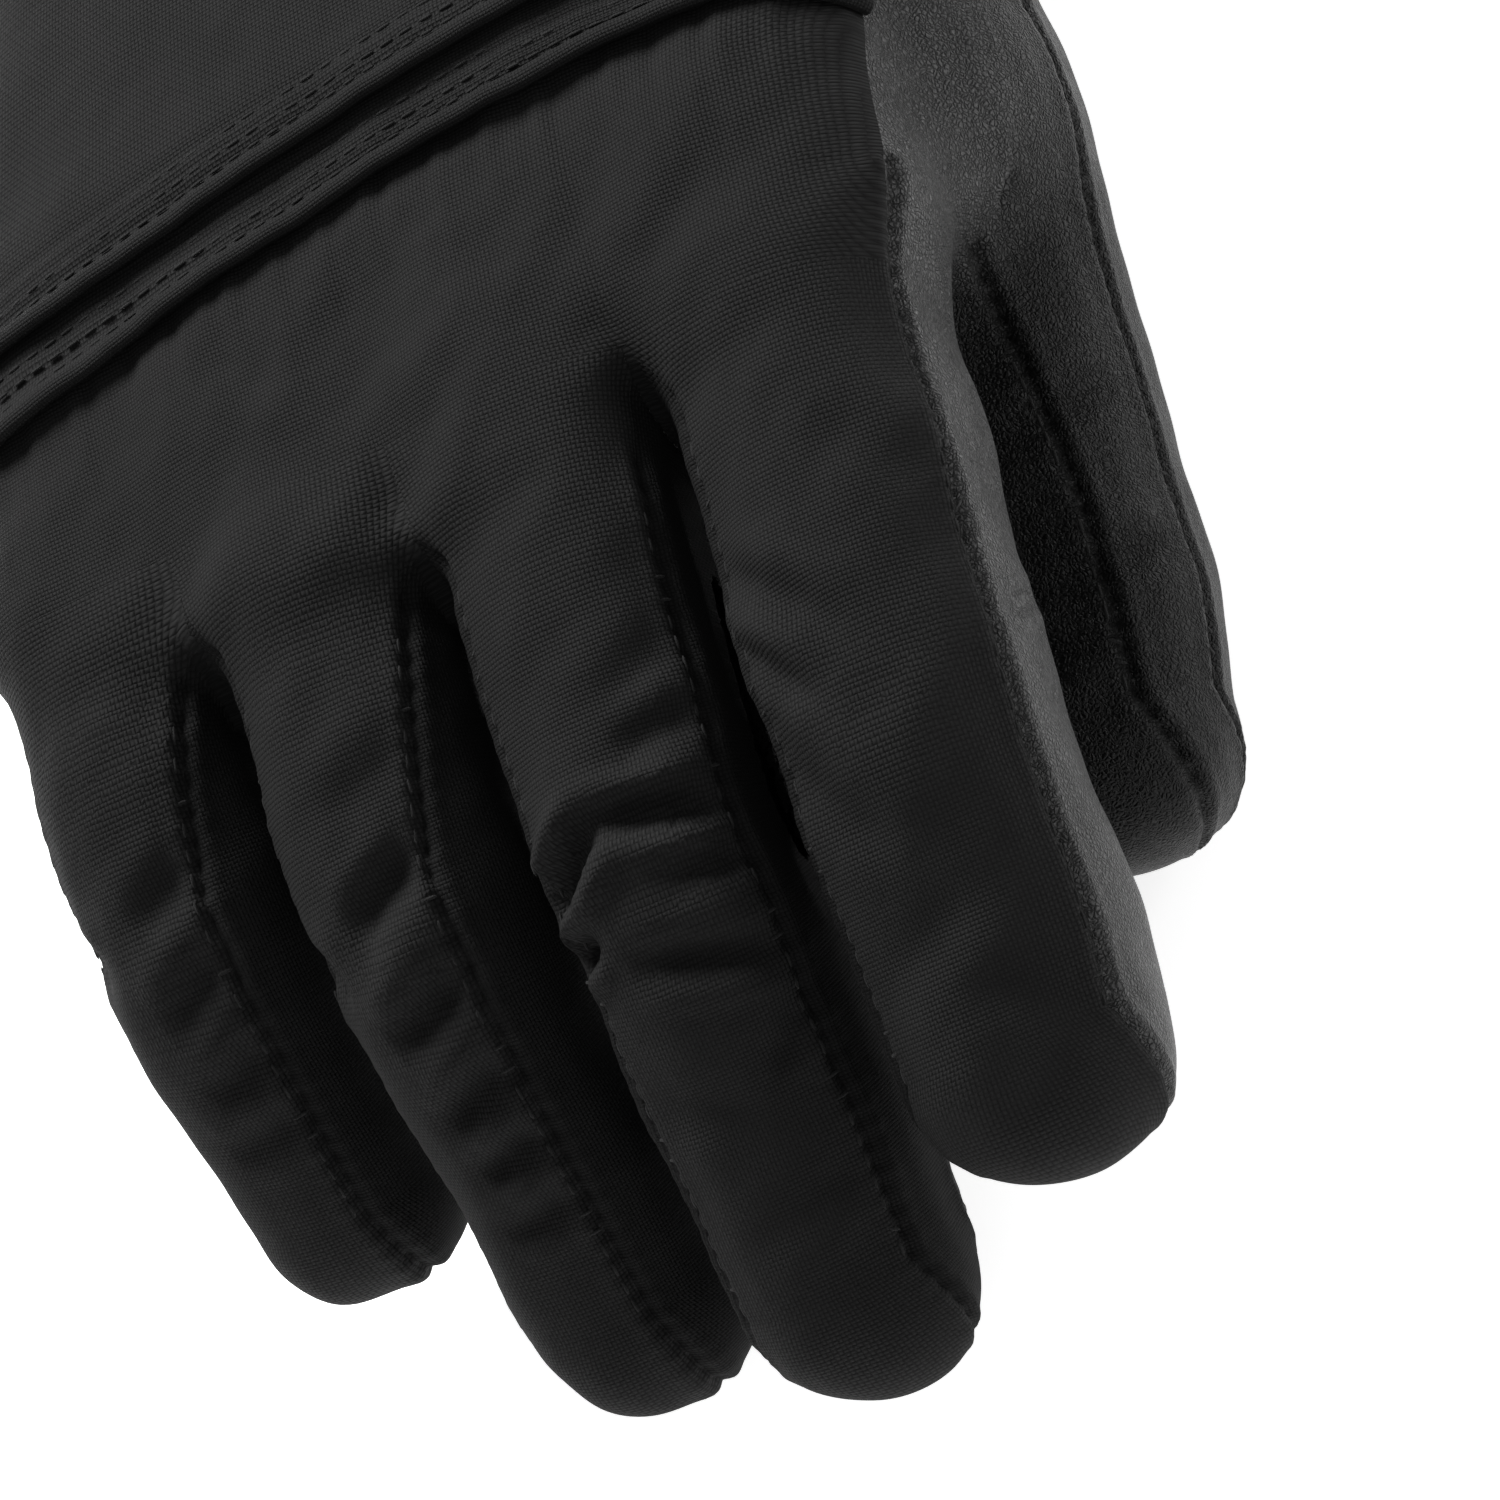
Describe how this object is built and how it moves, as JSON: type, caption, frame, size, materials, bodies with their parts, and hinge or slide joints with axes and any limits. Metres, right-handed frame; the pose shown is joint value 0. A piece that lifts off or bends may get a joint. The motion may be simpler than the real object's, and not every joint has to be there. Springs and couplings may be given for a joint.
{
  "type": "ski glove",
  "caption": "Right-hand padded ski glove with woven back, leather palm and thumb, hemmed knuckle panel, wrist strap and open cuff, lying palm down with bent fingers.",
  "frame": {"origin": "middle of the glove's outline seen from above, on the surface it lies on", "axes": "-Y towards the fingertips and +Y towards the cuff, +X towards the thumb side, +Z out of the back of the hand"},
  "size_m": [0.1252, 0.2668, 0.0808],
  "materials": {
    "woven_back": "matte",
    "palm_leather": "satin",
    "patch_leather": "satin",
    "lining": "matte",
    "elastic_knit": "matte",
    "cuff_fabric": "matte",
    "binding": "satin",
    "piping": "satin",
    "webbing": "satin",
    "hook_loop": "matte",
    "ring_plastic": "satin"
  },
  "bodies": {
    "hand": {"knuckle_panel": "woven_back", "lower_piping": "piping", "pleat_band": "woven_back", "upper_piping": "piping", "upper_back_panel": "woven_back", "palm_panel": "palm_leather", "palm_patch": "patch_leather", "thumb_gusset": "palm_leather", "gusset_liner": "lining", "hand_liner": "lining"},
    "cuff": {"wrist_gaiter": "elastic_knit", "cuff_shell": "cuff_fabric", "cuff_lining": "lining", "cuff_binding": "binding", "wrist_strap": "webbing", "loop_patch": "hook_loop", "strap_ring": "ring_plastic", "ring_keeper": "webbing", "pull_loop": "webbing"},
    "strap_tab": {"strap_tab": "webbing", "hook_patch": "hook_loop"},
    "index_proximal": {"index_proximal_back": "woven_back", "index_proximal_fourchettes": "woven_back", "index_proximal_palm": "palm_leather", "index_proximal_liner": "lining"},
    "index_distal": {"index_distal_back": "woven_back", "index_distal_fourchettes": "woven_back", "index_distal_palm": "palm_leather", "index_distal_liner": "lining"},
    "middle_proximal": {"middle_proximal_back": "woven_back", "middle_proximal_fourchettes": "woven_back", "middle_proximal_palm": "palm_leather", "middle_proximal_liner": "lining"},
    "middle_distal": {"middle_distal_back": "woven_back", "middle_distal_fourchettes": "woven_back", "middle_distal_palm": "palm_leather", "middle_distal_liner": "lining"},
    "ring_proximal": {"ring_proximal_back": "woven_back", "ring_proximal_fourchettes": "woven_back", "ring_proximal_palm": "palm_leather", "ring_proximal_liner": "lining"},
    "ring_distal": {"ring_distal_back": "woven_back", "ring_distal_fourchettes": "woven_back", "ring_distal_palm": "palm_leather", "ring_distal_liner": "lining"},
    "pinky_proximal": {"pinky_proximal_back": "woven_back", "pinky_proximal_fourchettes": "woven_back", "pinky_proximal_palm": "palm_leather", "pinky_proximal_liner": "lining"},
    "pinky_distal": {"pinky_distal_back": "woven_back", "pinky_distal_fourchettes": "woven_back", "pinky_distal_palm": "palm_leather", "pinky_distal_liner": "lining"},
    "thumb_proximal": {"thumb_proximal_outer": "palm_leather", "thumb_proximal_inner": "palm_leather", "thumb_proximal_liner": "lining"},
    "thumb_distal": {"thumb_distal_outer": "palm_leather", "thumb_distal_inner": "palm_leather", "thumb_distal_liner": "lining"}
  },
  "joints": [
    {"name": "index_base_bend", "type": "hinge", "parent": "hand", "child": "index_proximal", "pos_m": [0.038, -0.0466, 0.0595], "axis": [1, 0, 0], "range_deg": [-10, 13], "stiffness_Nm_per_rad": 1.2},
    {"name": "index_middle_bend", "type": "hinge", "parent": "index_proximal", "child": "index_distal", "pos_m": [0.038, -0.0786, 0.054], "axis": [1, 0, 0], "range_deg": [-15, 25], "stiffness_Nm_per_rad": 1.2},
    {"name": "middle_base_bend", "type": "hinge", "parent": "hand", "child": "middle_proximal", "pos_m": [0.009, -0.0516, 0.06], "axis": [1, 0, 0], "range_deg": [-12, 38], "stiffness_Nm_per_rad": 1.2},
    {"name": "middle_middle_bend", "type": "hinge", "parent": "middle_proximal", "child": "middle_distal", "pos_m": [0.009, -0.0836, 0.0515], "axis": [1, 0, 0], "range_deg": [-20, 42], "stiffness_Nm_per_rad": 1.2},
    {"name": "ring_base_bend", "type": "hinge", "parent": "hand", "child": "ring_proximal", "pos_m": [-0.0187, -0.0526, 0.058], "axis": [1, 0, 0], "range_deg": [-15, 36], "stiffness_Nm_per_rad": 1.2},
    {"name": "ring_middle_bend", "type": "hinge", "parent": "ring_proximal", "child": "ring_distal", "pos_m": [-0.0187, -0.0796, 0.047], "axis": [1, 0, 0], "range_deg": [-20, 40], "stiffness_Nm_per_rad": 1.2},
    {"name": "pinky_base_bend", "type": "hinge", "parent": "hand", "child": "pinky_proximal", "pos_m": [-0.046, -0.0486, 0.054], "axis": [1, 0, 0], "range_deg": [-20, 32], "stiffness_Nm_per_rad": 1.2},
    {"name": "pinky_middle_bend", "type": "hinge", "parent": "pinky_proximal", "child": "pinky_distal", "pos_m": [-0.046, -0.0686, 0.0435], "axis": [1, 0, 0], "range_deg": [-20, 40], "stiffness_Nm_per_rad": 1.2},
    {"name": "thumb_base_spread", "type": "hinge", "parent": "hand", "child": "thumb_proximal", "pos_m": [0.0466, -0.0306, 0.0253], "axis": [0, -0.2672, 0.9636], "range_deg": [-25, 20], "stiffness_Nm_per_rad": 1.2},
    {"name": "thumb_middle_spread", "type": "hinge", "parent": "thumb_proximal", "child": "thumb_distal", "pos_m": [0.0466, -0.0518, 0.01942], "axis": [0, -0.2672, 0.9636], "range_deg": [-30, 5], "stiffness_Nm_per_rad": 1.2},
    {"name": "wrist_flex", "type": "hinge", "parent": "hand", "child": "cuff", "pos_m": [0.002, 0.0604, 0.047], "axis": [1, 0, 0], "range_deg": [-20, 20], "stiffness_Nm_per_rad": 8},
    {"name": "strap_tab_peel", "type": "hinge", "parent": "cuff", "child": "strap_tab", "pos_m": [-0.013, 0.07704, 0.07761], "axis": [0, -0.9962, -0.0866], "range_deg": [0, 110]}
  ]
}
